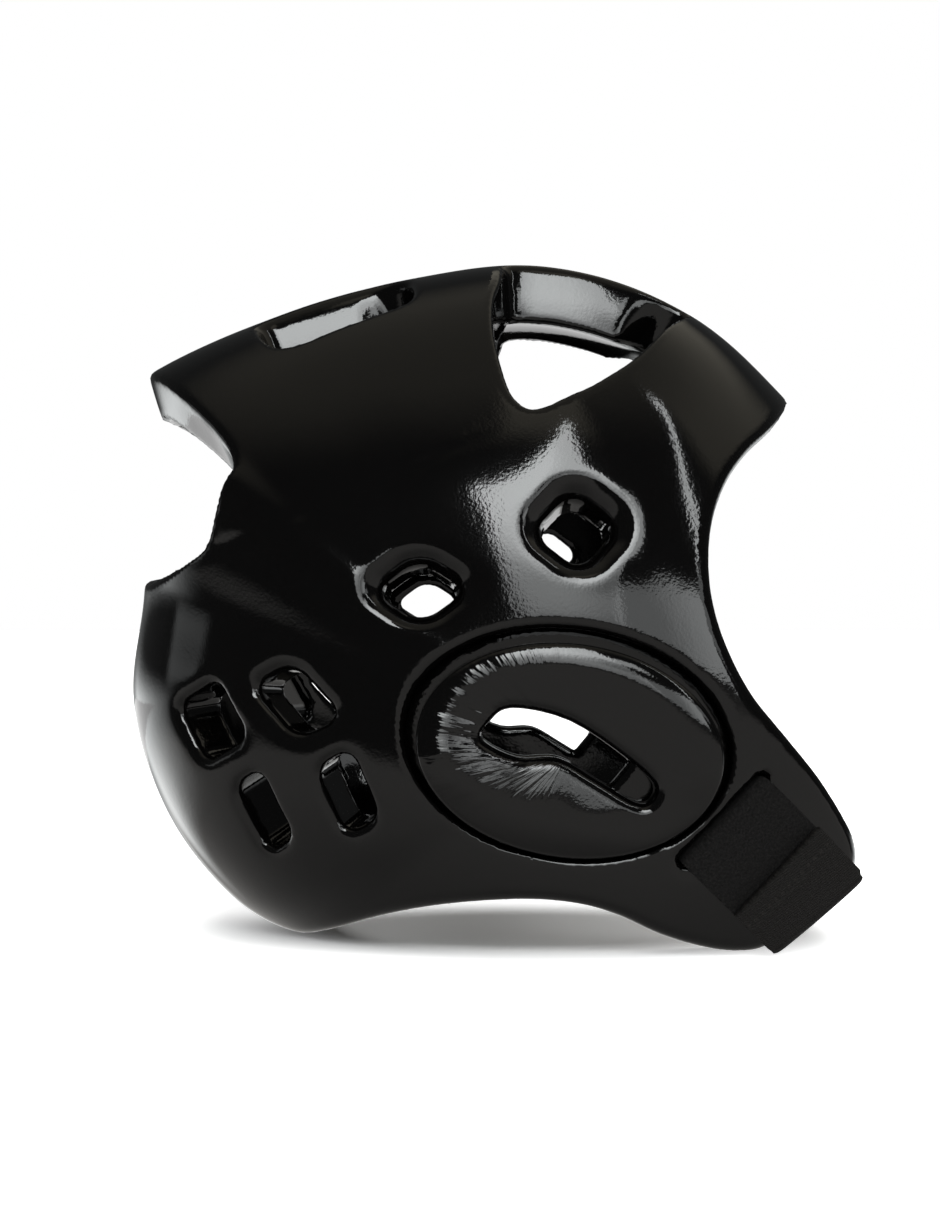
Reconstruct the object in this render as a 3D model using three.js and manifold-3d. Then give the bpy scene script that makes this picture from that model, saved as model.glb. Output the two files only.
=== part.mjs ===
import * as THREE from "three";
import Module from "manifold-3d";

// Martial arts head guard in millimetres. It is modelled as worn, about the ear axis
// (X forward, Y to the wearer's left, Z up), then laid back on its nape and cheek ends.

const HALF_BREADTH = 96;
const FOAM = 18;
const GAP = 0.35;

// Side profile about the ear axis: degrees (0 forward, 90 up), radius at the middle of the
// head, and how full the form runs out to the sides.
const PROFILE = [
  { angle: -60, radius: 134, fullness: 2.3 },
  { angle: -30, radius: 129, fullness: 2.25 },
  { angle: 0, radius: 128, fullness: 2.2 },
  { angle: 22, radius: 133.5, fullness: 2.2 },
  { angle: 40, radius: 145, fullness: 2.2 },
  { angle: 58, radius: 153, fullness: 2.2 },
  { angle: 75, radius: 156, fullness: 2.2 },
  { angle: 91, radius: 163.5, fullness: 2.2 },
  { angle: 105, radius: 175.5, fullness: 2.25 },
  { angle: 110, radius: 181, fullness: 2.3 },
  { angle: 118, radius: 159, fullness: 2.35 },
  { angle: 127, radius: 141.5, fullness: 2.35 },
  { angle: 143, radius: 136.5, fullness: 2.35 },
  { angle: 159, radius: 127.5, fullness: 2.35 },
  { angle: 175, radius: 116, fullness: 2.3 },
  { angle: 187, radius: 106.5, fullness: 2.3 },
  { angle: 215, radius: 105, fullness: 2.3 },
  { angle: 240, radius: 115, fullness: 2.3 },
  { angle: 270, radius: 127, fullness: 2.3 },
];

// Edge of the foam seen from the side, from the brow down the face and back to the nape.
const FACE_EDGE = [
  { forward: 121.5, up: 48.9 },
  { forward: 106.6, up: 45 },
  { forward: 94, up: 43 },
  { forward: 83, up: 39 },
  { forward: 73, up: 32 },
  { forward: 65, up: 22.5 },
  { forward: 59, up: 11 },
  { forward: 55.5, up: -2.5 },
  { forward: 54.5, up: -17 },
  { forward: 56.5, up: -32.5 },
  { forward: 58.5, up: -47.5 },
  { forward: 59, up: -62.5 },
  { forward: 58, up: -71.5 },
  { forward: 54, up: -78 },
  { forward: 45.5, up: -79.8 },
  { forward: 36.5, up: -80.7 },
  { forward: 27.5, up: -81.6 },
  { forward: 18, up: -82.2 },
  { forward: 9, up: -77 },
  { forward: 1, up: -69 },
  { forward: -6, up: -60 },
  { forward: -12.5, up: -49.5 },
  { forward: -21, up: -40 },
  { forward: -34, up: -30.5 },
  { forward: -54, up: -20.5 },
  { forward: -72, up: -14.5 },
  { forward: -89, up: -11.5 },
  { forward: -99, up: -9.5 },
  { forward: -106, up: -5.5 },
  { forward: -114, up: 1 },
];

// Six vents on each side: middle of the throat from the side, throat size, turn of the
// across edges and lean of the long edges in degrees.
const VENTS = [
  { forward: -10.3, up: 61.4, across: 14.5, along: 14.5, turn: 4, lean: 24 },
  { forward: 35.4, up: 52.7, across: 15, along: 15, turn: 19, lean: 22 },
  { forward: -59.4, up: 53.6, across: 14, along: 20.5, turn: -6, lean: 15 },
  { forward: -85.8, up: 62.1, across: 16, along: 22, turn: -1, lean: 8 },
  { forward: -84.9, up: 30.3, across: 12, along: 22, turn: 1, lean: -7 },
  { forward: -60.4, up: 22.3, across: 12, along: 21, turn: -2, lean: -9 },
];
const VENT_CORNER = 4.5;

// Openings of the crown, each by its edge on the outer face: degrees round the ear axis and
// stand-off from the middle plane. A front opening and a slot lie on either side of the strip.
const STRIP_HALF = 17;
const FRONT_OPENING = [
  { angle: 41, side: STRIP_HALF },
  { angle: 51, side: STRIP_HALF },
  { angle: 61, side: STRIP_HALF },
  { angle: 63.2, side: 20 },
  { angle: 63.6, side: 27 },
  { angle: 64.3, side: 38 },
  { angle: 65.7, side: 49.5 },
  { angle: 66.5, side: 62 },
  { angle: 66, side: 72 },
  { angle: 64.6, side: 75.6 },
  { angle: 62, side: 76.8 },
  { angle: 57.5, side: 75 },
  { angle: 51.1, side: 70 },
  { angle: 45.6, side: 60 },
  { angle: 41.8, side: 41 },
  { angle: 40, side: 27 },
  { angle: 39.4, side: 20 },
];
const CROWN_SLOT = [
  { angle: 79, side: STRIP_HALF },
  { angle: 85, side: STRIP_HALF },
  { angle: 90, side: STRIP_HALF },
  { angle: 92.3, side: 19 },
  { angle: 93.4, side: 25 },
  { angle: 93.5, side: 38 },
  { angle: 92.8, side: 45 },
  { angle: 90.3, side: 47.3 },
  { angle: 85, side: 46 },
  { angle: 79.7, side: 44.5 },
  { angle: 76.4, side: 42 },
  { angle: 75.2, side: 36 },
  { angle: 75.2, side: 25 },
  { angle: 76.4, side: 19 },
];

// Rear opening between the crown flap and the back panel, from the middle of the flap round
// to the middle of the panel; share is how much its wall leans with the flap's end.
const FLAP_LEAN = 0.12;
const REAR_OPENING = [
  { angle: 106, side: 0, share: 1 },
  { angle: 105.6, side: 18, share: 1 },
  { angle: 105.2, side: 34.5, share: 1 },
  { angle: 105.1, side: 47, share: 0.95 },
  { angle: 105.1, side: 56, share: 0.8 },
  { angle: 105.3, side: 63.5, share: 0.6 },
  { angle: 105.9, side: 69, share: 0.4 },
  { angle: 107.2, side: 72.8, share: 0.2 },
  { angle: 109.2, side: 74.4, share: 0 },
  { angle: 112, side: 74.2, share: 0 },
  { angle: 115.5, side: 71.7, share: 0 },
  { angle: 119.2, side: 67.5, share: 0 },
  { angle: 122.6, side: 58.3, share: 0 },
  { angle: 125.2, side: 46, share: 0 },
  { angle: 126.8, side: 30, share: 0 },
  { angle: 127.4, side: 0, share: 0 },
];

// Ear recess and ear pad: oval, long axis running down and forward.
const EAR = { long: 46.5, short: 31.5, turn: -50, floor: 86, gap: 0.4 };
const PAD_ROWS = [
  { share: 1, rise: 2.2 },
  { share: 0.985, rise: 5.2 },
  { share: 0.93, rise: 9 },
  { share: 0.82, rise: 12.4 },
  { share: 0.66, rise: 14.2 },
  { share: 0.48, rise: 13.8 },
  { share: 0.3, rise: 11.8 },
  { share: 0.14, rise: 10.2 },
];
const EAR_SLOT = [
  { forward: -18.3, up: 14.7 },
  { forward: -14.2, up: 18 },
  { forward: -6.5, up: 18 },
  { forward: 5.5, up: 6 },
  { forward: 13.7, up: -12.5 },
  { forward: 16, up: -23 },
  { forward: 10, up: -25 },
  { forward: 3.5, up: -13 },
  { forward: -2.7, up: -1.5 },
  { forward: -12.5, up: 5 },
];

// Strap: middle of the cheek slit from the side, turn of the strap line, and the webbing.
const SLIT = { forward: 27.8, up: -42.5, turn: 13, length: 38, deep: 12, above: 4.2, below: 1 };
const WEBBING = { width: 34.5, thick: 2, tail: 8 };
const STRAP_END = 20;
const CHEEK_END = 39.6;
const CHEEK_SLOPE = 0.12;
const PATCH_SHORT = 6;

const RIGHT = -1;
const LEFT = 1;
const DEGREE = Math.PI / 180;

// Reach of the cutters: past the sides, in under the ears, through a vent, out and in from the
// edge of a crown opening with the lift of its outer end, and the block that cuts a slit.
const PAST_SIDE = 130;
const INSIDE_EAR = 50;
const VENT_REACH = 70;
const OPENING_OUT = 30;
const OPENING_IN = 26;
const OPENING_LIFT = 60;
const SLIT_BLOCK = 50;

// Corners well outside the form, round behind and over it, that close its side outline.
const OUTSIDE = [
  { forward: -160, up: 190 },
  { forward: 0, up: 240 },
  { forward: 150, up: 190 },
];

// Facets of the form's two faces, round the ear axis and over to the sides.
const OUTER_FACETS = { round: 60, over: 30 };
const INNER_FACETS = { round: 48, over: 24 };

const wasm = await Module();
wasm.setup();

function readProfile(column, angle) {
  let degrees = angle / DEGREE;
  while (degrees < PROFILE[0].angle) {
    degrees += 360;
  }
  while (degrees >= PROFILE[0].angle + 360) {
    degrees -= 360;
  }
  const count = PROFILE.length;
  const row = (i) => PROFILE[((i % count) + count) % count];
  const at = (i) => row(i).angle + 360 * Math.floor(i / count);
  let i = 0;
  while (at(i + 1) <= degrees) {
    i += 1;
  }
  const slope = (j) => (row(j + 1)[column] - row(j - 1)[column]) / (at(j + 1) - at(j - 1));
  const span = at(i + 1) - at(i);
  const t = (degrees - at(i)) / span;
  const a = (2 * t * t * t - 3 * t * t + 1) * row(i)[column];
  const b = (t * t * t - 2 * t * t + t) * span * slope(i);
  const c = (3 * t * t - 2 * t * t * t) * row(i + 1)[column];
  const d = (t * t * t - t * t) * span * slope(i + 1);
  return a + b + c + d;
}

// Point of the head form at an angle round the ear axis and an angle out to the side.
function formPoint(angle, lateral, inset) {
  const radius = readProfile("radius", angle) - inset;
  const power = 2 / readProfile("fullness", angle);
  const out = Math.pow(Math.abs(Math.cos(lateral)), power);
  const side = Math.sign(lateral) * Math.pow(Math.abs(Math.sin(lateral)), power);
  return new THREE.Vector3(
    radius * out * Math.cos(angle),
    (HALF_BREADTH - inset) * side,
    radius * out * Math.sin(angle),
  );
}

// How far the outer face stands from the middle plane at a place seen from the side.
function faceAt(forward, up) {
  const angle = Math.atan2(up, forward);
  const power = readProfile("fullness", angle);
  const share = Math.min(Math.hypot(forward, up) / readProfile("radius", angle), 0.999);
  return HALF_BREADTH * Math.pow(1 - Math.pow(share, power), 1 / power);
}

function faceNormal(forward, up, side) {
  const step = 0.5;
  const slopeForward = (faceAt(forward + step, up) - faceAt(forward - step, up)) / (2 * step);
  const slopeUp = (faceAt(forward, up + step) - faceAt(forward, up - step)) / (2 * step);
  return new THREE.Vector3(-slopeForward, side, -slopeUp).normalize();
}

// Weld a geometry into a closed solid.
function solid(geometry) {
  const position = geometry.getAttribute("position");
  const index = geometry.getIndex();
  const count = index ? index.count : position.count;
  const seen = new Map();
  const points = [];
  const weld = [];
  for (let i = 0; i < position.count; i += 1) {
    const p = [position.getX(i), position.getY(i), position.getZ(i)];
    const key = p.map((v) => Math.round(v * 1e4)).join(" ");
    if (!seen.has(key)) {
      seen.set(key, points.length / 3);
      points.push(...p);
    }
    weld.push(seen.get(key));
  }
  const faces = [];
  for (let i = 0; i < count; i += 3) {
    const [a, b, c] = [0, 1, 2].map((k) => weld[index ? index.getX(i + k) : i + k]);
    if (a !== b && b !== c && c !== a) {
      faces.push(a, b, c);
    }
  }
  const mesh = new wasm.Mesh({
    numProp: 3,
    vertProperties: new Float32Array(points),
    triVerts: new Uint32Array(faces),
  });
  return new wasm.Manifold(mesh);
}

// Extrude a drawn outline along the third axis, centred, in a frame of three axes.
function prism(shape, depth, origin, xAxis, yAxis, zAxis, curveSegments) {
  const geometry = new THREE.ExtrudeGeometry(shape, { depth, bevelEnabled: false, curveSegments });
  geometry.translate(0, 0, -depth / 2);
  const frame = new THREE.Matrix4().makeBasis(xAxis, yAxis, zAxis);
  frame.setPosition(origin);
  geometry.applyMatrix4(frame);
  return solid(geometry);
}

const AXIS_F = new THREE.Vector3(1, 0, 0);
const AXIS_L = new THREE.Vector3(0, 1, 0);
const AXIS_U = new THREE.Vector3(0, 0, 1);
const AXIS_R = new THREE.Vector3(0, -1, 0);

function sidePrism(shape, nearY, farY, curveSegments) {
  const origin = new THREE.Vector3(0, (nearY + farY) / 2, 0);
  return prism(shape, Math.abs(farY - nearY), origin, AXIS_F, AXIS_U, AXIS_R, curveSegments);
}

// Four-sided outline with rounded corners, its edges set by an across and an along vector.
function roundedPatch(across, along, corner) {
  const ends = [
    across.clone().add(along).multiplyScalar(-0.5),
    across.clone().sub(along).multiplyScalar(0.5),
    across.clone().add(along).multiplyScalar(0.5),
    along.clone().sub(across).multiplyScalar(0.5),
  ];
  const shape = new THREE.Shape();
  ends.forEach((end, i) => {
    const back = ends[(i + 3) % 4].clone().sub(end).setLength(corner).add(end);
    const on = ends[(i + 1) % 4].clone().sub(end).setLength(corner).add(end);
    if (i === 0) {
      shape.moveTo(back.x, back.y);
    } else {
      shape.lineTo(back.x, back.y);
    }
    shape.quadraticCurveTo(end.x, end.y, on.x, on.y);
  });
  shape.closePath();
  return shape;
}

function formSolid(inset, facets) {
  const geometry = new THREE.SphereGeometry(1, facets.round, facets.over);
  const position = geometry.getAttribute("position");
  for (let i = 0; i < position.count; i += 1) {
    const angle = Math.atan2(position.getZ(i), position.getX(i));
    const lateral = Math.asin(THREE.MathUtils.clamp(position.getY(i), -1, 1));
    const p = formPoint(angle, lateral, inset);
    position.setXYZ(i, p.x, p.y, p.z);
  }
  return solid(geometry);
}

// All that lies above and behind the face edge, seen from the side.
function sideBlock() {
  const shape = new THREE.Shape();
  const first = FACE_EDGE[0];
  const last = FACE_EDGE[FACE_EDGE.length - 1];
  shape.moveTo(first.forward + 40, first.up + 12);
  shape.lineTo(first.forward, first.up);
  shape.splineThru(FACE_EDGE.slice(1).map((row) => new THREE.Vector2(row.forward, row.up)));
  shape.lineTo(last.forward - 40, last.up + 30);
  for (const corner of OUTSIDE) {
    shape.lineTo(corner.forward, corner.up);
  }
  shape.closePath();
  return sidePrism(shape, -PAST_SIDE, PAST_SIDE, 2);
}

// Place on the outer face from an angle and a stand-off from the middle plane.
function edgePoint(row, side) {
  const angle = row.angle * DEGREE;
  const power = readProfile("fullness", angle);
  const share = Math.pow(1 - Math.pow(row.side / HALF_BREADTH, power), 1 / power);
  const radius = readProfile("radius", angle) * share;
  return new THREE.Vector3(radius * Math.cos(angle), side * row.side, radius * Math.sin(angle));
}

function formNormal(point) {
  const level = (p) => {
    const angle = Math.atan2(p.z, p.x);
    const power = readProfile("fullness", angle);
    const share = Math.hypot(p.x, p.z) / readProfile("radius", angle);
    return Math.pow(share, power) + Math.pow(Math.abs(p.y) / HALF_BREADTH, power);
  };
  const step = 0.2;
  const slope = [AXIS_F, AXIS_L, AXIS_U].map((axis) => {
    const ahead = point.clone().addScaledVector(axis, step);
    const behind = point.clone().addScaledVector(axis, -step);
    return level(ahead) - level(behind);
  });
  return new THREE.Vector3(...slope).normalize();
}

// Cutter through the foam: its wall stands on a closed edge line and runs along the direction
// given at each point of the line.
function wallCutter(edge) {
  const count = edge.length;
  const points = [];
  const middles = [];
  for (const [height, lift] of [[OPENING_OUT, OPENING_LIFT], [-OPENING_IN, 0]]) {
    const middle = new THREE.Vector3();
    for (const { point, along } of edge) {
      const p = point.clone().addScaledVector(along, height);
      middle.addScaledVector(p, 1 / count);
      points.push(p.x, p.y, p.z);
    }
    middle.setLength(middle.length() + lift);
    middles.push(middle);
  }
  for (const middle of middles) {
    points.push(middle.x, middle.y, middle.z);
  }
  const faces = [];
  for (let i = 0; i < count; i += 1) {
    const j = (i + 1) % count;
    faces.push(i, count + i, count + j, i, count + j, j);
    faces.push(2 * count, i, j);
    faces.push(2 * count + 1, count + j, count + i);
  }
  const geometry = new THREE.BufferGeometry();
  geometry.setAttribute("position", new THREE.Float32BufferAttribute(points, 3));
  geometry.setIndex(faces);
  return solid(geometry);
}

function squareEdge(row, side) {
  const point = edgePoint(row, side);
  return { point, along: formNormal(point) };
}

// An opening beside the strip, its wall square to the foam.
function crownOpening(rows, side) {
  const edge = rows.map((row) => squareEdge(row, side));
  return wallCutter(side === RIGHT ? edge : edge.reverse());
}

function rearOpening() {
  const edgeAt = (row, side) => {
    const { point, along } = squareEdge(row, side);
    return { point, along: along.addScaledVector(AXIS_F, FLAP_LEAN * row.share).normalize() };
  };
  const inner = REAR_OPENING.slice(1, -1).reverse();
  return wallCutter([
    ...REAR_OPENING.map((row) => edgeAt(row, LEFT)),
    ...inner.map((row) => edgeAt(row, RIGHT)),
  ]);
}

function vent(row, side) {
  const normal = faceNormal(row.forward, row.up, side);
  const up = AXIS_U.clone().addScaledVector(normal, -normal.z).normalize();
  const ahead = AXIS_F.clone().addScaledVector(normal, -normal.x);
  ahead.addScaledVector(up, -ahead.dot(up)).normalize();
  const turn = row.turn * DEGREE;
  const lean = row.lean * DEGREE;
  const across = new THREE.Vector2(Math.cos(turn), Math.sin(turn)).multiplyScalar(row.across);
  const along = new THREE.Vector2(-Math.sin(lean), Math.cos(lean)).multiplyScalar(row.along);
  const shape = roundedPatch(across, along, VENT_CORNER);
  const origin = new THREE.Vector3(row.forward, side * faceAt(row.forward, row.up), row.up);
  const out = ahead.clone().cross(up);
  return prism(shape, VENT_REACH, origin, ahead, up, out, 4);
}

function earOval() {
  const shape = new THREE.Shape();
  shape.absellipse(0, 0, EAR.long, EAR.short, 0, 2 * Math.PI, false, EAR.turn * DEGREE);
  return shape;
}

function earSlotShape() {
  const rows = EAR_SLOT.map((row) => new THREE.Vector2(row.forward, row.up));
  const shape = new THREE.Shape();
  shape.moveTo(rows[0].x, rows[0].y);
  shape.splineThru([...rows.slice(1), rows[0]]);
  return shape;
}

function earPad(side) {
  const rows = PAD_ROWS.map((row) => new THREE.Vector2(row.share, row.rise)).reverse();
  const profile = [new THREE.Vector2(0, GAP), new THREE.Vector2(0, rows[0].y - 0.4), ...rows];
  profile.push(new THREE.Vector2(1, GAP));
  profile.push(new THREE.Vector2(0, GAP));
  const geometry = new THREE.LatheGeometry(profile.reverse(), 44);
  const turn = EAR.turn * DEGREE;
  const long = new THREE.Vector3(Math.cos(turn), 0, Math.sin(turn));
  const out = new THREE.Vector3(0, side, 0);
  const short = long.clone().cross(out);
  geometry.scale(EAR.long - EAR.gap, 1, EAR.short - EAR.gap);
  const frame = new THREE.Matrix4().makeBasis(long, out, short);
  frame.setPosition(new THREE.Vector3(0, side * EAR.floor, 0));
  geometry.applyMatrix4(frame);
  return solid(geometry).subtract(sidePrism(earSlotShape(), side * INSIDE_EAR, side * PAST_SIDE, 3));
}

// Place on a cheek: down the strap line and across it, seen from the side.
function cheekPlace(down, across) {
  const turn = SLIT.turn * DEGREE;
  return {
    forward: SLIT.forward + down * Math.sin(turn) + across * Math.cos(turn),
    up: SLIT.up - down * Math.cos(turn) + across * Math.sin(turn),
  };
}

// Point at a height square off the cheek's outer face.
function cheekPoint(side, down, across, height) {
  const place = cheekPlace(down, across);
  const point = new THREE.Vector3(place.forward, side * faceAt(place.forward, place.up), place.up);
  return point.addScaledVector(faceNormal(place.forward, place.up, side), height);
}

// Flat band of webbing: middle line points for each place across, thickened square to itself.
function band(lines, thick) {
  const across = lines.length;
  const along = lines[0].length;
  const points = [];
  for (const face of [0.5, -0.5]) {
    for (let i = 0; i < across; i += 1) {
      for (let j = 0; j < along; j += 1) {
        const on = lines[i][Math.min(j + 1, along - 1)].clone().sub(lines[i][Math.max(j - 1, 0)]);
        const over = lines[Math.min(i + 1, across - 1)][j].clone().sub(lines[Math.max(i - 1, 0)][j]);
        const normal = on.cross(over).normalize();
        const p = lines[i][j].clone().addScaledVector(normal, face * thick);
        points.push(p.x, p.y, p.z);
      }
    }
  }
  const at = (face, i, j) => face * across * along + i * along + j;
  const faces = [];
  const quad = (a, b, c, d) => faces.push(a, b, c, a, c, d);
  for (let i = 0; i + 1 < across; i += 1) {
    for (let j = 0; j + 1 < along; j += 1) {
      quad(at(0, i, j), at(0, i, j + 1), at(0, i + 1, j + 1), at(0, i + 1, j));
      quad(at(1, i, j), at(1, i + 1, j), at(1, i + 1, j + 1), at(1, i, j + 1));
    }
    quad(at(0, i, 0), at(0, i + 1, 0), at(1, i + 1, 0), at(1, i, 0));
    const end = along - 1;
    quad(at(0, i, end), at(1, i, end), at(1, i + 1, end), at(0, i + 1, end));
  }
  const side = across - 1;
  for (let j = 0; j + 1 < along; j += 1) {
    quad(at(0, 0, j), at(1, 0, j), at(1, 0, j + 1), at(0, 0, j + 1));
    quad(at(0, side, j), at(0, side, j + 1), at(1, side, j + 1), at(1, side, j));
  }
  const geometry = new THREE.BufferGeometry();
  geometry.setAttribute("position", new THREE.Float32BufferAttribute(points, 3));
  geometry.setIndex(faces);
  return solid(geometry);
}

const ACROSS = [-0.5, -0.25, 0, 0.25, 0.5];

// Out of the slit and over its lower lip.
function outOfSlit(side, across, height) {
  const radius = height + 1;
  const line = [cheekPoint(side, SLIT.below - radius, across, -WEBBING.tail)];
  for (let k = 0; k <= 4; k += 1) {
    const turn = (k / 4) * 0.5 * Math.PI;
    const down = SLIT.below - radius * Math.cos(turn);
    line.push(cheekPoint(side, down, across, -1 + radius * Math.sin(turn)));
  }
  return line;
}

function downCheek(side, across, height, from, to, steps) {
  const line = [];
  for (let k = 0; k <= steps; k += 1) {
    line.push(cheekPoint(side, from + ((to - from) * k) / steps, across, height));
  }
  return line;
}

function cheekEnd(across) {
  return CHEEK_END + CHEEK_SLOPE * across;
}

// Round the end of the cheek and in under the chin.
function underChin(side, across, height) {
  const end = cheekEnd(across);
  const edge = cheekPlace(end, across);
  const face = faceAt(edge.forward, edge.up);
  const drop = WEBBING.thick / 2 + 2 * GAP;
  const line = [];
  for (let k = 0; k <= 5; k += 1) {
    const turn = (k / 5) * 0.5 * Math.PI;
    const place = cheekPlace(end + drop * Math.sin(turn), across);
    const y = face + (height + GAP) * Math.cos(turn);
    line.push(new THREE.Vector3(place.forward, side * y, place.up));
  }
  return line;
}

const ON_FOAM = GAP + WEBBING.thick / 2;
const ON_PATCH = ON_FOAM + GAP + WEBBING.thick;

function chinStrap() {
  const lines = ACROSS.map((share) => {
    const across = share * WEBBING.width;
    const end = cheekEnd(across);
    const left = [
      ...outOfSlit(LEFT, across, ON_FOAM),
      ...downCheek(LEFT, across, ON_FOAM, SLIT.below + 4, end - 4, 8),
      ...underChin(LEFT, across, ON_FOAM),
    ];
    const right = [
      ...downCheek(RIGHT, across, ON_PATCH, STRAP_END, end - 3, 5),
      ...underChin(RIGHT, across, ON_PATCH),
    ];
    const middle = left[left.length - 1].clone().lerp(right[right.length - 1], 0.5);
    return [...left, middle, ...right.reverse()];
  });
  return band(lines, WEBBING.thick);
}

function loopPatch() {
  const lines = ACROSS.map((share) => {
    const across = share * WEBBING.width;
    return [
      ...outOfSlit(RIGHT, across, ON_FOAM),
      ...downCheek(RIGHT, across, ON_FOAM, SLIT.below + 4, cheekEnd(across) - PATCH_SHORT, 8),
    ];
  });
  return band(lines, WEBBING.thick);
}

function cheekSlit(side) {
  const turn = SLIT.turn * DEGREE;
  const middle = cheekPlace((SLIT.below - SLIT.above) / 2, 0);
  const across = new THREE.Vector2(Math.cos(turn), Math.sin(turn)).multiplyScalar(SLIT.length);
  const along = new THREE.Vector2(-Math.sin(turn), Math.cos(turn));
  const shape = roundedPatch(across, along.multiplyScalar(SLIT.above + SLIT.below), 1.2);
  const face = faceAt(middle.forward, middle.up);
  const origin = new THREE.Vector3(middle.forward, side * (face - SLIT.deep + SLIT_BLOCK / 2), middle.up);
  return prism(shape, SLIT_BLOCK, origin, AXIS_F, AXIS_U, AXIS_R, 2);
}

function foamShell() {
  let shell = formSolid(0, OUTER_FACETS).subtract(formSolid(FOAM, INNER_FACETS));
  shell = shell.intersect(sideBlock());
  shell = shell.subtract(rearOpening());
  for (const side of [RIGHT, LEFT]) {
    shell = shell.subtract(crownOpening(FRONT_OPENING, side));
    shell = shell.subtract(crownOpening(CROWN_SLOT, side));
    for (const row of VENTS) {
      shell = shell.subtract(vent(row, side));
    }
    shell = shell.subtract(sidePrism(earOval(), side * EAR.floor, side * PAST_SIDE, 12));
    shell = shell.subtract(sidePrism(earSlotShape(), side * INSIDE_EAR, side * PAST_SIDE, 3));
    shell = shell.subtract(cheekSlit(side));
  }
  return shell;
}

const vinyl = new THREE.MeshStandardMaterial({ color: 0x141313, roughness: 0.28, metalness: 0 });
vinyl.name = "dipped_vinyl";
const webbing = new THREE.MeshStandardMaterial({ color: 0x2a2726, roughness: 0.85, metalness: 0 });
webbing.name = "elastic_webbing";
const pile = new THREE.MeshStandardMaterial({ color: 0x1d1c1c, roughness: 0.95, metalness: 0 });
pile.name = "loop_pile";

const pieces = [
  ["foam_shell", foamShell(), vinyl],
  ["ear_pad_right", earPad(RIGHT), vinyl],
  ["ear_pad_left", earPad(LEFT), vinyl],
  ["loop_patch", loopPatch(), pile],
  ["chin_strap", chinStrap(), webbing],
];

function toGeometry(manifold) {
  const mesh = manifold.getMesh();
  const points = [];
  for (let i = 0; i < mesh.numVert; i += 1) {
    const k = i * mesh.numProp;
    points.push(mesh.vertProperties[k], mesh.vertProperties[k + 1], mesh.vertProperties[k + 2]);
  }
  const geometry = new THREE.BufferGeometry();
  geometry.setAttribute("position", new THREE.Float32BufferAttribute(points, 3));
  geometry.setIndex(Array.from(mesh.triVerts));
  geometry.computeVertexNormals();
  return geometry;
}

const worn = new THREE.Group();
for (const [name, manifold, material] of pieces) {
  const mesh = new THREE.Mesh(toGeometry(manifold), material);
  mesh.name = name;
  worn.add(mesh);
}

// Lowest point under a lean, over the nape or over the cheek ends.
function lowest(lean, wanted) {
  let low = Infinity;
  for (const mesh of worn.children) {
    const position = mesh.geometry.getAttribute("position");
    for (let i = 0; i < position.count; i += 1) {
      const forward = position.getX(i);
      if (wanted(forward)) {
        low = Math.min(low, forward * Math.sin(lean) + position.getZ(i) * Math.cos(lean));
      }
    }
  }
  return low;
}

// Lean at which nape and cheek ends touch the ground together.
function restLean() {
  let upright = 15 * DEGREE;
  let flat = 50 * DEGREE;
  for (let k = 0; k < 40; k += 1) {
    const lean = (upright + flat) / 2;
    const nape = lowest(lean, (forward) => forward < -60);
    const cheek = lowest(lean, (forward) => forward > 0);
    if (cheek < nape) {
      upright = lean;
    } else {
      flat = lean;
    }
  }
  return (upright + flat) / 2;
}

worn.rotation.y = -restLean();
worn.updateMatrixWorld(true);
const bounds = new THREE.Box3().setFromObject(worn, true);
worn.position.set(-(bounds.min.x + bounds.max.x) / 2, 0, -bounds.min.z);

const group = new THREE.Group();
group.name = "head_guard";
group.add(worn);

export default group;
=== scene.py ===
import math

import bpy
import numpy as np
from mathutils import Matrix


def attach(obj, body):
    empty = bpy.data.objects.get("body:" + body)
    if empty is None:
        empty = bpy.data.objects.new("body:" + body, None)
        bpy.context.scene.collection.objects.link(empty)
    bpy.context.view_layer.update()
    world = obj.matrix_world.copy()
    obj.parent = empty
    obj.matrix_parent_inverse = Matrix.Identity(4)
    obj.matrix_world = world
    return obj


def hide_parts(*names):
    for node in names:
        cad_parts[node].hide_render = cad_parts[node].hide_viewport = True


# Martial arts head guard: a dipped foam shell, two ear pads, a loop tab and a chin strap.
# Shapes are worked out in millimetres as worn, about the ear axis (forward, left, up), then
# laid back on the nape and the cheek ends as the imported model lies.

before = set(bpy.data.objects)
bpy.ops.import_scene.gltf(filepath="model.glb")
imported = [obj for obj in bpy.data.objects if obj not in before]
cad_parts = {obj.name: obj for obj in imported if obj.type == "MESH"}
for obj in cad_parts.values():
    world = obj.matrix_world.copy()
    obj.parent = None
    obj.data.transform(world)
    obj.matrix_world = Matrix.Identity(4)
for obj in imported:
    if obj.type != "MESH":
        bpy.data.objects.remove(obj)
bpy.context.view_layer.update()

# How far the guard lies back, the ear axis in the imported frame, and the sign of each side.
LEAN = math.radians(32.41327)
EAR_AXIS = (22.96647, 0.0, 61.58333)
RIGHT, LEFT = -1, 1

# The form: half its breadth, the thickness of the foam, and the side profile as degrees round
# the ear axis, radius and fullness to the sides.
HALF_BREADTH = 96.0
FOAM = 18.0
PROFILE = np.array([
    (-60, 134, 2.3), (-30, 129, 2.25), (0, 128, 2.2), (22, 133.5, 2.2), (40, 145, 2.2),
    (58, 153, 2.2), (75, 156, 2.2), (91, 163.5, 2.2), (105, 175.5, 2.25), (110, 181, 2.3),
    (118, 159, 2.35), (127, 141.5, 2.35), (143, 136.5, 2.35), (159, 127.5, 2.35),
    (175, 116, 2.3), (187, 106.5, 2.3), (215, 105, 2.3), (240, 115, 2.3), (270, 127, 2.3),
])

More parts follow.
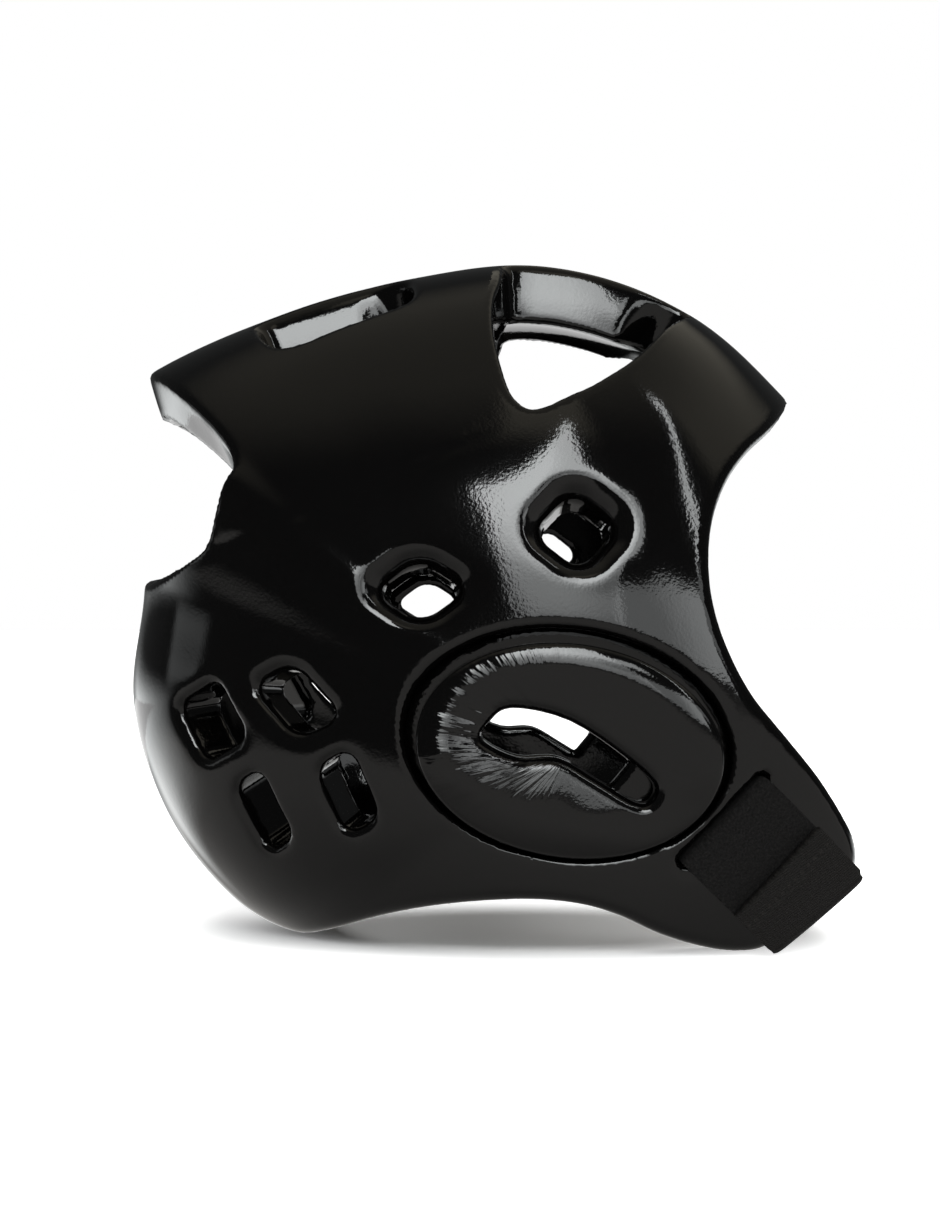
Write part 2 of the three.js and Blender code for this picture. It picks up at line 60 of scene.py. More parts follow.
# Edge of the foam seen from the side (forward, up), brow to cheek to nape.
FACE_EDGE = np.array([
    (121.5, 48.9), (106.6, 45), (94, 43), (83, 39), (73, 32), (65, 22.5), (59, 11), (55.5, -2.5),
    (54.5, -17), (56.5, -32.5), (58.5, -47.5), (59, -62.5), (58, -71.5), (54, -78),
    (45.5, -79.8), (36.5, -80.7), (27.5, -81.6), (18, -82.2), (9, -77), (1, -69), (-6, -60),
    (-12.5, -49.5), (-21, -40), (-34, -30.5), (-54, -20.5), (-72, -14.5), (-89, -11.5),
    (-99, -9.5), (-106, -5.5), (-114, 1),
])
FACE_BEYOND = np.array([(-154, 31), (-170, 200), (0, 260), (170, 200), (161.5, 60.9)])

# Centre strip of the crown: half width, lean of its walls as a share of the depth, the depth
# where the lean stops, and the distances off the strip where it starts to fade and is gone.
STRIP, STRIP_LEAN, STRIP_DEEP = 17.0, 0.56, 16.5
LEAN_FADES, LEAN_GONE = 10.0, 26.0

# Crown openings by their edge on the outer face: degrees round the ear axis, stand-off from
# the middle plane.
FRONT_OPENING = np.array([
    (41, STRIP), (51, STRIP), (61, STRIP), (63.2, 20), (63.6, 27), (64.3, 38), (65.7, 49.5),
    (66.5, 62), (66, 72), (64.6, 75.6), (62, 76.8), (57.5, 75), (51.1, 70), (45.6, 60),
    (41.8, 41), (40, 27), (39.4, 20),
])
CROWN_SLOT = np.array([
    (79, STRIP - 1.7), (85, STRIP - 0.1), (90, STRIP + 1.6), (92.3, 20), (93.4, 25), (93.5, 38),
    (92.8, 45), (90.3, 47.3), (85, 46), (79.7, 44.5), (76.4, 42), (75.2, 36), (75.2, 25),
    (76.4, 19),
])
REAR_OPENING = np.array([
    (106, 0), (105.6, 18), (105.2, 34.5), (105.1, 47), (105.1, 56), (105.3, 63.5), (105.9, 69),
    (107.2, 72.8), (109.2, 74.4), (112, 74.2), (115.5, 71.7), (119.2, 67.5), (122.6, 58.3),
    (125.2, 46), (126.8, 30), (127.4, 0),
])

# The openings beside the strip, the angles between which the strip's wall leans in each, the
# degrees over which the lean comes in, and the radius of the opening's edge.
STRIP_CUTS = (
    (FRONT_OPENING, 42.5, 82, 5, 1.8),
    (CROWN_SLOT, 74.5, 101, 8, 2.6),
)

# Walls of the rear opening: degrees that they turn off the radius, at two angles round the
# axis, and the angles between which they are worked out.
RIDGE_AT, RIDGE_TURN, RIDGE_NEAR = (109.0, 127.0), (-34.0, 41.0), (95, 140)

# How far round a crown opening its wall counts.
WALL_NEAR = 16.0

# Vents: middle of the throat (forward, up), throat across and along, turn of the across
# edges, lean of the long edges, width and depth of the funnel round it, widening of the throat.
VENTS = [
    (-10.3, 61.4, 14.5, 14.5, 4, 24, 5.5, 6.0, 1.4),
    (38.0, 52.0, 15, 15, 15, 17.5, 6.0, 6.5, 1.6),
    (-59.4, 53.6, 14, 20.5, -6, 15, 3.6, 2.4, 0.6),
    (-85.8, 62.1, 19.5, 19.5, -1, 8, 2.6, 1.4, 0.4),
    (-86.0, 30.3, 12, 22, 1, -7, 1.8, 0.7, 0.3),
    (-60.4, 22.3, 12, 21, -2, -9, 2.0, 0.8, 0.3),
]
# Radius of a throat's corners, softness of a funnel's edge, how far its slope runs on into the
# throat, the most times that its widening counts, and how far off a vent counts.
VENT_CORNER, FUNNEL_EDGE, FUNNEL_ON, WIDEN_MOST, VENT_NEAR = 4.5, 1.0, 3.0, 1.5, 40.0

# Ear recess and ear pad by middle (forward, up) and half axes, and the slot through both.
EAR_TURN, EAR_FLOOR = math.radians(-40.5), 86.0
RECESS = (1.6, 0.3, 47.4, 33.1)
PAD = (1.0, -1.25, 44.2, 30.6)
EAR_SLOT = np.array([
    (-18.3, 14.7), (-14.2, 18), (-6.5, 18), (5.5, 6), (13.7, -12.5), (16, -23), (10, -25),
    (3.5, -13), (-2.7, -1.5), (-12.5, 5),
])
# The slot goes through the shell down to a stop, measured along its lower run.
SLOT_STOP, SLOT_WAY = np.array([12.0, -15.0]), np.array([0.3, -0.954])
# Edge of the ear recess: height about the ear axis as the guard lies and the radius there, low
# and high; and how far off the ear counts.
RIM_LOW, RIM_HIGH, EAR_NEAR = (-5.0, 0.3), (15.0, 2.4), 40.0

# Ear pad: height of the crest over the recess floor, the round down to the rim, the fall to the
# slot, the rise of the rear end, and the further rise of that end's lower half.
PAD_CREST = 13.8
PAD_RIM = {"slope": 0.5, "wide": 7.5, "wider": 6.0, "down": 18.0}
PAD_DIP = {"slope": 0.17, "wide": 12.0, "ease": 2.0}
PAD_REAR = {"slope": 0.06, "from": -8.0, "ease": 4.0}
PAD_LOWER = {"slope": 0.17, "from": 12.0, "to": -2.0, "ease": 2.0, "run": 26.0}

# Cheek slit, webbing and loop tab.
SLIT = {"forward": 27.8, "up": -42.5, "turn": math.radians(13), "length": 35.4, "deep": 12.0,
        "above": 2.4, "below": 1.2}
# The slit's sunk lower lip: depth, how far down it runs, where it starts above, how much wider
# it is than half the webbing, and the run of its ends.
LIP_DIP, LIP_RUN, LIP_ABOVE, LIP_WIDER, LIP_ENDS = 0.8, 6.0, 2.0, 3.6, 3.0
# Webbing: width, thickness, tail inside the slit, radius and lower end of its bend over the lip,
# where it lies flat on the cheek; length, thickness and edge of the strap's turned end.
WEB_WIDTH, WEB_THICK, WEB_TAIL = 34.5, 2.0, 8.0
LIP_BEND, BEND_DOWN, FLAT_FROM = 1.3, 1.1, 2.0
HEM_LONG, HEM_THICK, HEM_EDGE = 6.5, 0.9, 1.2
GAP = 0.35
# Down the cheek from the slit: the strap's end, the cheek's end and its slope across, and how
# far short of that the tab, the strap's left run and its right run stop.
STRAP_END, CHEEK_END, CHEEK_SLOPE = 20.0, 39.6, 0.12
TAB_SHORT, LEFT_SHORT, RIGHT_SHORT = 6.0, 4.0, 3.0
# Height of the webbing's middle over the foam, on the foam itself and on the tab.
ON_FOAM = GAP + WEB_THICK / 2
ON_TAB = ON_FOAM + GAP + WEB_THICK

# Crease across the side, seen from the side (forward, up): its depth, half width, where it
# starts to fade ahead and is gone, and the height above which it counts.
CREASE_DEEP, CREASE_WIDE, CREASE_FADES, CREASE_GONE, CREASE_ABOVE = 0.24, 1.5, 10.0, 40.0, 70.0
CREASE = np.array([(-63, 106), (-34, 99.4), (-15.5, 96), (2.7, 92), (16, 91), (42, 88)])

# Radii of the other edges: vents, the foam's outer edge, rear opening, sound slot, cheek slit,
# and the pad's rim and slot.
VENT_ROUND, FACE_ROUND, REAR_ROUND, SOUND_ROUND, SLIT_ROUND = 1.6, 2.6, 1.8, 1.5, 0.8
PAD_ROUND, PAD_SLOT_ROUND = 0.9, 3.0

# Grids of the distance fields: cell, bounds forward and up of the shell, its cells out from the
# middle plane and the spare ones past it; the pad's cell and its bounds forward, out and up.
SHELL_CELL, SHELL_AHEAD, SHELL_UP, SHELL_OUT, SPARE = 1.5, (-124.5, 132), (-90, 187.5), 68, 2
PAD_CELL, PAD_BOX = 0.9, ((-44, 45), (82, 106), (-48, 49))
# How near the foam the openings are worked out, a distance past all of that, and the stand-off
# from the middle plane where the sides begin.
FOAM_NEAR, FAR, SIDE_FROM = 9.0, 12.0, 40.0

# Finishes, as linear colours.
VINYL_BLACK, DUST = (0.0010, 0.0009, 0.0009, 1), (0.05, 0.040, 0.026, 1)
ELASTIC_DARK, ELASTIC_PALE = (0.0030, 0.0027, 0.0025, 1), (0.014, 0.0122, 0.0108, 1)
PILE_DARK, PILE_PALE = (0.0014, 0.0013, 0.0013, 1), (0.0105, 0.0098, 0.0096, 1)
WHITE, BLACK, PAPER = (1, 1, 1, 1), (0, 0, 0, 1), (0.93, 0.93, 0.93, 1)


def catmull(points, steps, closed=False):
    """Smooth line through points: uniform Catmull-Rom, steps places to each span."""
    if closed:
        p = np.vstack([points[-1], points, points[:2]])
    else:
        p = np.vstack([2 * points[0] - points[1], points, 2 * points[-1] - points[-2]])
    t = np.linspace(0, 1, steps, endpoint=False)[None, :, None]
    a, b, c, d = (p[i:len(p) - 3 + i, None, :] for i in range(4))
    line = b + 0.5 * t * (c - a + t * (2 * a - 5 * b + 4 * c - d + t * (3 * (b - c) + d - a)))
    line = line.reshape(-1, points.shape[1])
    return np.vstack([line, points[:1] if closed else points[-1:]])


def profile_table():
    """Radius and fullness every tenth of a degree: a periodic cubic through the profile rows."""
    turn = np.array([360.0, 0, 0])
    rows = np.vstack([PROFILE - turn, PROFILE, PROFILE + turn])
    at, value = rows[:, 0], rows[:, 1:]
    slope = np.zeros_like(value)
    slope[1:-1] = (value[2:] - value[:-2]) / (at[2:] - at[:-2])[:, None]
    angle = np.arange(-1800, 1801) / 10.0
    i = np.searchsorted(at, angle, side="right") - 1
    span = (at[i + 1] - at[i])[:, None]
    t = (angle - at[i])[:, None] / span
    out = (2 * t**3 - 3 * t**2 + 1) * value[i] + (t**3 - 2 * t**2 + t) * span * slope[i]
    out += (3 * t**2 - 2 * t**3) * value[i + 1] + (t**3 - t**2) * span * slope[i + 1]
    return angle, out[:, 0], out[:, 1]


TURN, RADIUS, FULLNESS = profile_table()


def level(f, y, u, inset=0.0):
    """((rho / radius)^n + (|y| / breadth)^n)^(1/n), with radius and n from the profile: 1 on
    the face."""
    angle = np.degrees(np.arctan2(u, f))
    n = np.interp(angle, TURN, FULLNESS)
    share = np.hypot(f, u) / (np.interp(angle, TURN, RADIUS) - inset)
    return (share**n + (np.abs(y) / (HALF_BREADTH - inset))**n)**(1 / n)


def face_at(f, u):
    """How far the outer face stands from the middle plane at a place seen from the side."""
    most = 0.999
    angle = np.degrees(np.arctan2(u, f))
    n = np.interp(angle, TURN, FULLNESS)
    share = np.minimum(np.hypot(f, u) / np.interp(angle, TURN, RADIUS), most)
    return HALF_BREADTH * (1 - share**n)**(1 / n)


def face_normal(f, u, side):
    """Normal of the outer face from the slopes of face_at."""
    step = 0.5
    df = (face_at(f + step, u) - face_at(f - step, u)) / (2 * step)
    du = (face_at(f, u + step) - face_at(f, u - step)) / (2 * step)
    n = np.stack([-df, side * np.ones_like(df), -du], -1)
    return n / np.linalg.norm(n, axis=-1, keepdims=True)


def edge_point(angle, side):
    """Place on the outer face from degrees round the ear axis and stand-off from the middle."""
    n = np.interp(angle, TURN, FULLNESS)
    radius = np.interp(angle, TURN, RADIUS) * (1 - (np.abs(side) / HALF_BREADTH)**n)**(1 / n)
    turn = np.radians(angle)
    return np.stack([radius * np.cos(turn), side, radius * np.sin(turn)], -1)


def to_rest(points):
    """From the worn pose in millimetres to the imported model's frame in metres."""
    f, y, u = points[:, 0], points[:, 1], points[:, 2]
    c, s = math.cos(LEAN), math.sin(LEAN)
    rest = np.stack([f * c - u * s, y, f * s + u * c], -1)
    return (rest + np.array(EAR_AXIS)) * 0.001


def turn_to_rest(vectors):
    """Directions, turned as to_rest turns points."""
    return to_rest(vectors) * 1000 - np.array(EAR_AXIS)


def line_distance(points, line):
    """Least distance from each point to the segments of a line, in any number of dimensions."""
    best = np.full(len(points), 1e9)
    for a, b in zip(line[:-1], line[1:]):
        ab = b - a
        ap = points - a
        t = np.clip(ap @ ab / max(ab @ ab, 1e-12), 0, 1)
        gap = ap - t[:, None] * ab
        best = np.minimum(best, np.einsum("ij,ij->i", gap, gap))
    return np.sqrt(best)


def within(points, loop):
    """True inside a closed plane loop, by the number of its edges crossed."""
    x, y = points[:, 0], points[:, 1]
    odd = np.zeros(len(points), bool)
    for (ax, ay), (bx, by) in zip(loop[:-1], loop[1:]):
        if ay != by:
            odd ^= ((ay > y) != (by > y)) & (x < (bx - ax) * (y - ay) / (by - ay) + ax)
    return odd


def loop_distance(points, loop):
    """Signed distance to a closed plane loop, less than nothing inside."""
    return np.where(within(points, loop), -1, 1) * line_distance(points, loop)


def both(a, b, radius):
    """Where two forms meet: the larger of two distances, the edge rounded to a radius."""
    corner = np.hypot(np.maximum(a + radius, 0), np.maximum(b + radius, 0)) - radius
    return corner + np.minimum(np.maximum(a, b) + radius, 0)


def smooth(t):
    """Step from 0 to 1 with level ends: 3 t^2 - 2 t^3."""
    t = np.clip(t, 0, 1)
    return t * t * (3 - 2 * t)


def eased(t, soft):
    """Ramp: nothing below 0 and t above it, with a soft corner, soft * ln(1 + e^(t / soft))."""
    return soft * np.logaddexp(0, t / soft)


def ripple(p):
    """Slow unevenness of a dipped skin: a few crossing waves, hundredths of a millimetre."""
    broad, fine = 0.06, 0.03
    f, y, u = p[:, 0], p[:, 1], p[:, 2]
    wave = np.sin(f / 13.0 + 1.3 * np.sin(u / 19.0)) * np.sin(u / 15.0 + 0.7)
    return broad * wave + fine * np.sin((f + u) / 8.1 + y / 10.0) * np.sin((f - u) / 9.3)


def crease_sink(foot):
    """Depth of the crease: a bell across its line, fading out towards the brow."""
    line = catmull(CREASE, steps=6)
    crease = np.column_stack([line[:, 0], face_at(line[:, 0], line[:, 1]), line[:, 1]])
    near = (foot[:, 1] > SIDE_FROM) & (foot[:, 2] > CREASE_ABOVE)
    deep = CREASE_DEEP * smooth((CREASE_GONE - foot[near][:, 0]) / (CREASE_GONE - CREASE_FADES))
    sink = np.zeros(len(foot))
    sink[near] = deep * np.exp(-(line_distance(foot[near], crease) / CREASE_WIDE)**2)
    return sink


def lip_sink(side):
    """Depth of the slit's lower lip: a little wider than the webbing, easing out downwards."""
    across, down = cheek_axes(side)
    wide = smooth((WEB_WIDTH / 2 + LIP_WIDER - np.abs(across)) / LIP_ENDS)
    return LIP_DIP * wide * smooth(1 - down / LIP_RUN) * smooth(down + LIP_ABOVE)


def patch_distance(a, b, across, along, turn, lean):
    """Signed distance to a four-sided patch with rounded corners, from its two edge vectors."""
    ax, ay = math.cos(math.radians(turn)), math.sin(math.radians(turn))
    bx, by = -math.sin(math.radians(lean)), math.cos(math.radians(lean))
    square = abs(ax * by - ay * bx)
    over = np.abs(a * by - b * bx) - across * square / 2 + VENT_CORNER
    up = np.abs(a * ay - b * ax) - along * square / 2 + VENT_CORNER
    out = np.hypot(np.maximum(over, 0), np.maximum(up, 0))
    return out + np.minimum(np.maximum(over, up), 0) - VENT_CORNER


def wall_distance(foot, rows):
    """Signed distance over the outer face to a closed edge line, less than nothing inside: the
    wall of a crown opening stands where a point's foot on the face meets the line."""
    line = edge_point(rows[:, 0], rows[:, 1])
    near = np.all((foot > line.min(0) - WALL_NEAR) & (foot < line.max(0) + WALL_NEAR), axis=1)
    p = foot[near] / level(*foot[near].T)[:, None]
    angle = np.degrees(np.arctan2(p[:, 2], p[:, 0]))
    inside = within(np.stack([angle, p[:, 1]], -1), rows)
    out = np.full(len(foot), WALL_NEAR)
    out[near] = np.where(inside, -1, 1) * line_distance(p, line)
    return out


def ridge_foot(points, normal):
    """Foot on the outer face near the rear opening: along a line whose turn off the radius
    goes evenly over the ridge, so that walls on both sides of it stay clean; far off, the
    point itself."""
    rounds, step = 4, 0.5
    angle = np.degrees(np.arctan2(points[:, 2], points[:, 0]))
    near = (angle > RIDGE_NEAR[0]) & (angle < RIDGE_NEAR[1])
    foot = points.copy()
    p = points[near]
    turn = np.radians(angle[near] + np.interp(angle[near], RIDGE_AT, RIDGE_TURN))
    flat = np.sqrt(1 - normal[near][:, 1]**2)
    way = np.stack([flat * np.cos(turn), normal[near][:, 1], flat * np.sin(turn)], -1)
    for _ in range(rounds):
        here = level(*p.T)
        rise = (level(*(p + way * step).T) - level(*(p - way * step).T)) / (2 * step)
        p = p + way * ((1 - here) / np.maximum(rise, 1e-3))[:, None]
    foot[near] = p
    return foot


def vent_cut(p, outer):
    """Sink a funnel round each vent and open its throat square to the face."""
    wall = np.full(len(p), -FAR)
    for f, u, across, along, turn, lean, rim, deep, widen in VENTS:
        centre = np.array([f, face_at(f, u), u])
        out = face_normal(np.float64(f), np.float64(u), LEFT)
        up = np.array([0, 0, 1.0]) - out * out[2]
        up /= np.linalg.norm(up)
        ahead = np.cross(out, up)
        q = p - centre
        near = np.einsum("ij,ij->i", q, q) < VENT_NEAR**2
        hole = patch_distance(q[near] @ ahead, q[near] @ up, across, along, turn, lean)
        ramp = eased(rim - hole, FUNNEL_EDGE)
        throat = hole - widen * np.clip(1 + outer[near] / FOAM, 0, WIDEN_MOST)
        outer[near] += deep / rim * np.minimum(ramp, rim + FUNNEL_ON)
        wall[near] = np.maximum(wall[near], -throat)
    return outer, wall


def oval(side, rows):
    """Distance in from the rim of the ear oval, roughly, for places seen from the side."""
    forward, up, long, short = rows
    c, s = math.cos(EAR_TURN), math.sin(EAR_TURN)
    f, u = side[:, 0] - forward, side[:, 1] - up
    return (1 - np.hypot((f * c + u * s) / long, (u * c - f * s) / short)) * short


def strip_cut(body, foot, sunk):
    """Cut the openings beside the crown's strip, whose walls lean out with their depth."""
    angle = np.degrees(np.arctan2(foot[:, 2], foot[:, 0]))
    fade = smooth((STRIP + LEAN_GONE - foot[:, 1]) / (LEAN_GONE - LEAN_FADES))
    lean = STRIP_LEAN * np.minimum(sunk, STRIP_DEEP) * fade
    for rows, start, stop, ends, radius in STRIP_CUTS:
        shift = lean * smooth((angle - start) / ends) * smooth((stop - angle) / ends)
        leaned = foot - shift[:, None] * [0, 1, 0]
        body = both(body, -wall_distance(leaned, catmull(rows, steps=5, closed=True)), radius)
    return body


def ear_cut(body, p, on_side):
    """Sink the ear recess to its floor, its edge rounder higher up, and cut the sound slot
    through it as far as the stop."""
    side = p[:, [0, 2]]
    recess = np.minimum(oval(side, RECESS), p[:, 1] - EAR_FLOOR)
    (low, sharp), (high, soft) = RIM_LOW, RIM_HIGH
    lying = p[:, 0] * math.sin(LEAN) + p[:, 2] * math.cos(LEAN)
    body = both(body, recess, sharp + (soft - sharp) * smooth((lying - low) / (high - low)))
    slot = catmull(EAR_SLOT, steps=4, closed=True)
    hole = np.full(len(p), FAR)
    near = (np.abs(side) < EAR_NEAR).all(1) & on_side
    beyond = (side[near] - SLOT_STOP) @ SLOT_WAY
    hole[near] = np.maximum(loop_distance(side[near], slot), beyond)
    return both(body, -hole, SOUND_ROUND)


def slit_cut(body, side, on_side, outer):
    """Cut the cheek slit: a box on the strap line, down to its depth under the outer face."""
    across, down = cheek_axes(side)
    middle = (SLIT["below"] - SLIT["above"]) / 2
    tall = (SLIT["above"] + SLIT["below"]) / 2
    slit = np.maximum(np.abs(across) - SLIT["length"] / 2, np.abs(down - middle) - tall)
    slit = np.where(on_side, np.maximum(slit, -outer - SLIT["deep"]), FAR)
    return both(body, -slit, SLIT_ROUND)


def shell_field(cell):
    """Distance field of the foam shell: between the form and its inset, sunk along the crease and
    at the slit's lip, less its vents and openings; one half, then both by mirroring."""
    f = np.arange(*SHELL_AHEAD, cell)
    y = np.arange(-SPARE, SHELL_OUT) * cell
    u = np.arange(*SHELL_UP, cell)
    grid = np.meshgrid(f, y, u, indexing="ij")
    face, inner = level(*grid), level(*grid, FOAM)
    slope = np.stack(np.gradient(face, cell), -1)
    steep = np.linalg.norm(slope, axis=-1)
    d_out = (face - 1) / steep
    d_in = (inner - 1) / np.sqrt(sum(s * s for s in np.gradient(inner, cell)))
    field = np.maximum(d_out, -d_in)
    pick = field < FOAM_NEAR
    p = np.stack([g[pick] for g in grid], -1)
    outer, under = d_out[pick], -d_in[pick]
    sunk = np.maximum(-outer, 0)
    normal = slope[pick] / steep[pick][:, None]
    foot = p - outer[:, None] * normal
    side = p[:, [0, 2]]
    on_side = p[:, 1] > SIDE_FROM
    outer = outer + ripple(foot) + crease_sink(foot) + np.where(on_side, lip_sink(side), 0)
    outer, wall = vent_cut(p, outer)
    body = both(np.maximum(outer, under), wall, VENT_ROUND)

    edge = catmull(FACE_EDGE, steps=4)
    kept = within(side, np.vstack([edge, FACE_BEYOND, edge[:1]]))
    body = both(body, np.where(kept, -1, 1) * line_distance(side, edge), FACE_ROUND)
    body = strip_cut(body, foot, sunk)
    rear = catmull(REAR_OPENING, steps=5)
    loop = np.vstack([rear, rear[-2::-1] * [1, -1]])
    body = both(body, -wall_distance(ridge_foot(p, normal), loop), REAR_ROUND)
    body = ear_cut(body, p, on_side)
    field[pick] = slit_cut(body, side, on_side, outer)
    field = np.concatenate([field[:, :SPARE:-1], field[:, SPARE:]], axis=1).astype(np.float32)
    return field, np.array([f[0], -y[-1], u[0]])


def cheek_axes(side):
    """Across and down the strap line from the slit's middle, for places seen from the side."""
    c, s = math.cos(SLIT["turn"]), math.sin(SLIT["turn"])
    f, u = side[:, 0] - SLIT["forward"], side[:, 1] - SLIT["up"]
    return f * c + u * s, f * s - u * c


def net(field, low, cell):
    """Surface net: one point to each cell that the surface crosses, at the mean of its edge
    crossings, drawn onto the surface along the field's slope; quads join cells round an edge."""
    inside = field < 0
    corners = np.array(np.meshgrid([0, 1], [0, 1], [0, 1], indexing="ij")).reshape(3, -1).T
    shape = np.array(field.shape) - 1
    full = np.zeros(shape, np.int8)
    for a, b, c in corners:
        full += inside[a:a + shape[0], b:b + shape[1], c:c + shape[2]]
    cells = np.argwhere((full > 0) & (full < 8))
    index = np.full(shape, -1)
    index[tuple(cells.T)] = np.arange(len(cells))
    value = {tuple(k): field[tuple((cells + k).T)] for k in corners}
    total, hits = np.zeros((len(cells), 3)), np.zeros(len(cells))
    for k in corners:
        for axis in np.flatnonzero(k == 0):
            unit = np.eye(3, dtype=int)[axis]
            a, b = value[tuple(k)], value[tuple(k + unit)]
            crossed = (a < 0) != (b < 0)
            t = np.where(crossed, a / np.where(crossed, a - b, 1), 0)
            total += crossed[:, None] * (k + t[:, None] * unit)
            hits += crossed
    points = cells + total / hits[:, None]
    slope = [g.astype(np.float32) for g in np.gradient(field)]
    rounds, longest, flattest = 2, 0.4, 0.1
    for _ in range(rounds):
        push = np.stack([sample(g, points) for g in slope], -1)
        size = np.maximum((push * push).sum(1), flattest)
        move = np.clip(sample(field, points), -longest, longest) / size
        points = points - push * move[:, None]
    normal = np.stack([sample(g, points) for g in slope], -1)
    normal /= np.linalg.norm(normal, axis=1, keepdims=True)
    quads = []
    for k in range(3):
        i, j = (k + 1) % 3, (k + 2) % 3
        ei, ej = (np.eye(3, dtype=int)[n] for n in (i, j))
        here = np.argwhere(np.diff(inside, axis=k))
        here = here[(here[:, i] > 0) & (here[:, j] > 0)]
        here = here[(here[:, i] < shape[i]) & (here[:, j] < shape[j])]
        ring = [index[tuple((here - ei - ej).T)], index[tuple((here - ej).T)],
                index[tuple(here.T)], index[tuple((here - ei).T)]]
        quad = np.stack(ring, -1)
        turned = ~inside[tuple(here.T)]
        quad[turned] = quad[turned][:, ::-1]
        quads.append(quad)
    return low + points * cell, np.vstack(quads), normal


def sample(field, points):
    """Value between grid points, by three-way linear mixing."""
    base = np.clip(np.floor(points).astype(int), 0, np.array(field.shape) - 2)
    t = points - base
    out = 0
    for a in (0, 1):
        for b in (0, 1):
            for c in (0, 1):
                mix = np.abs(1 - a - t[:, 0]) * np.abs(1 - b - t[:, 1]) * np.abs(1 - c - t[:, 2])
                out = out + mix * field[base[:, 0] + a, base[:, 1] + b, base[:, 2] + c]
    return out


def put_mesh(name, points, faces, normal=None):
    """A piece from worn-pose points and faces, smooth, with the field's own normals if given."""
    mesh = bpy.data.meshes.new(name)
    mesh.from_pydata(to_rest(points).tolist(), [], np.asarray(faces).tolist())
    mesh.shade_smooth()
    if normal is not None:
        mesh.normals_split_custom_set_from_vertices(turn_to_rest(normal).tolist())
    piece = bpy.data.objects.new(name, mesh)
    bpy.context.scene.collection.objects.link(piece)
    return piece


def pad_height(rim, hole, flat):
    """Height of the ear pad: a crest, less a parabola down to the rim, wider at the bottom, less
    an even fall to the slot that eases out. Behind the middle it rises by an even slope, and its
    lower half rises by a second slope that comes in towards the rear end."""
    ahead = flat[:, 0] * math.cos(LEAN) - flat[:, 1] * math.sin(LEAN)
    high = flat[:, 0] * math.sin(LEAN) + flat[:, 1] * math.cos(LEAN)
    wide = PAD_RIM["wide"] + PAD_RIM["wider"] * smooth(-high / PAD_RIM["down"])
    fall = PAD_RIM["slope"] / (2 * wide) * np.clip(wide - rim, 0, None)**2
    fall = fall + PAD_DIP["slope"] * eased(PAD_DIP["wide"] - hole, PAD_DIP["ease"])
    behind = PAD_REAR["from"] - ahead
    rear = PAD_REAR["slope"] * eased(behind, PAD_REAR["ease"])
    lower = eased(PAD_LOWER["from"] - high, PAD_LOWER["ease"])
    lower = lower - eased(PAD_LOWER["to"] - high, PAD_LOWER["ease"])
    return PAD_CREST - fall + rear + PAD_LOWER["slope"] * lower * smooth(behind / PAD_LOWER["run"])


def pad_field(cell):
    """Distance field of the left ear pad: an oval cushion round the slot, on the recess floor."""
    f, y, u = (np.arange(*ends, cell) for ends in PAD_BOX)
    grid = np.meshgrid(f, y, u, indexing="ij")
    flat = np.stack([grid[0][:, 0].ravel(), grid[2][:, 0].ravel()], -1)
    rim = oval(flat, PAD)
    hole = loop_distance(flat, catmull(EAR_SLOT, steps=4, closed=True))
    high = pad_height(np.clip(rim, 0, None), np.clip(hole, 0, None), flat)
    spread = (len(f), 1, len(u))
    rim, hole, high = (v.reshape(spread) for v in (rim, hole, high))
    body = np.maximum(grid[1] - EAR_FLOOR - high, EAR_FLOOR + GAP - grid[1])
    body = both(body, -rim + 0 * grid[1], PAD_ROUND)
    body = both(body, -hole + 0 * grid[1], PAD_SLOT_ROUND)
    return body.astype(np.float32), np.array([f[0], y[0], u[0]])


def cheek_place(down, across):
    """Place seen from the side, from distances down and across the strap line."""
    c, s = math.cos(SLIT["turn"]), math.sin(SLIT["turn"])
    return SLIT["forward"] + down * s + across * c, SLIT["up"] - down * c + across * s


def cheek_point(side, down, across, height):
    """Point at a height square off the cheek's outer face, down and across the strap line."""
    f, u = cheek_place(down, across)
    place = np.stack([f, side * face_at(f, u), u], -1)
    return place + face_normal(f, u, side) * np.asarray(height)[..., None]


def lip_height(down):
    """Height of webbing over the slit's lower lip, sunk at the slit and level further down."""
    return ON_FOAM - LIP_DIP * smooth(1 - down / LIP_RUN)


def slit_run(side, across):
    """Webbing out of the slit and round its sunk lower lip, a quarter turn."""
    tail_steps, bend_steps = 3, 7
    centre = lip_height(BEND_DOWN) - LIP_BEND
    turn = np.linspace(0, math.pi / 2, bend_steps)
    tail = np.full(tail_steps, BEND_DOWN - LIP_BEND)
    down = np.concatenate([tail, BEND_DOWN - LIP_BEND * np.cos(turn)])
    high = np.concatenate([np.linspace(-WEB_TAIL, centre - 1, tail_steps),
                           centre + LIP_BEND * np.sin(turn)])
    return cheek_point(side, down[None], across[:, None], high[None])


def cheek_run(side, across, height, start, end, steps):
    """Webbing down the cheek between two places, each given for every line across."""
    t = np.linspace(0, 1, steps)[None]
    down = start[:, None] * (1 - t) + end[:, None] * t
    high = lip_height(down) - ON_FOAM + height
    return cheek_point(side, down, across[:, None] + 0 * down, high)


def chin_turn(side, across, height):
    """Webbing round the end of the cheek and in under the chin, a quarter turn."""
    end = (CHEEK_END + CHEEK_SLOPE * across)[:, None]
    wide = across[:, None]
    drop, bend_steps = WEB_THICK / 2 + 2 * GAP, 9
    turn = np.linspace(0, math.pi / 2, bend_steps)[None]
    face = face_at(*cheek_place(end, wide))
    f, u = cheek_place(end + drop * np.sin(turn), wide)
    return np.stack([f, side * (face + (height + GAP) * np.cos(turn)), u], -1)


